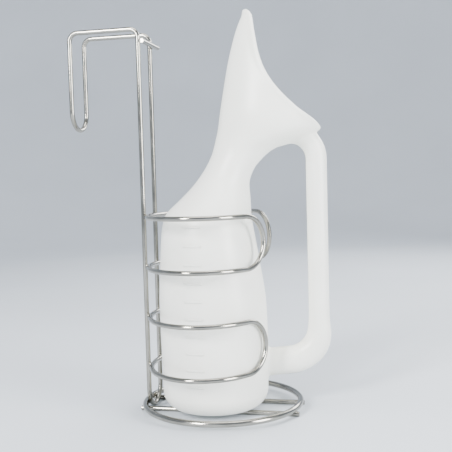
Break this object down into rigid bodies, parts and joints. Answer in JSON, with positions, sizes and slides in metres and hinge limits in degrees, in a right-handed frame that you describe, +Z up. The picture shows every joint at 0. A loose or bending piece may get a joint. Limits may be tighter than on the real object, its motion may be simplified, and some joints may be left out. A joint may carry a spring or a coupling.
{
  "type": "urine bottle",
  "caption": "Blow-moulded bedside urine bottle with a scoop mouth and grip handle, standing in a chromed bent-wire holder with a bed-rail hook.",
  "frame": {"origin": "on the surface that the holder stands on, under the centre of the base ring", "axes": "+Z up; +X from the rail hook towards the bottle's handle; -Y is the side of the bottle with the graduation bars"},
  "size_m": [0.212, 0.1348, 0.3295],
  "materials": {
    "chrome_wire": "bright chrome-plated steel wire",
    "bottle_plastic": "milky white satin polyethylene, blow moulded"
  },
  "bodies": {
    "holder": {"hanger": "chrome_wire", "hook_bar": "chrome_wire", "upper_loop": "chrome_wire", "lower_loop": "chrome_wire", "base_ring": "chrome_wire", "near_cross_wire": "chrome_wire", "far_cross_wire": "chrome_wire"},
    "bottle": {"bottle": "bottle_plastic"}
  },
  "joints": [
    {"name": "bottle_lift", "type": "slide", "parent": "holder", "child": "bottle", "axis": [0, 0, 1], "range_m": [0, 0.32]}
  ]
}
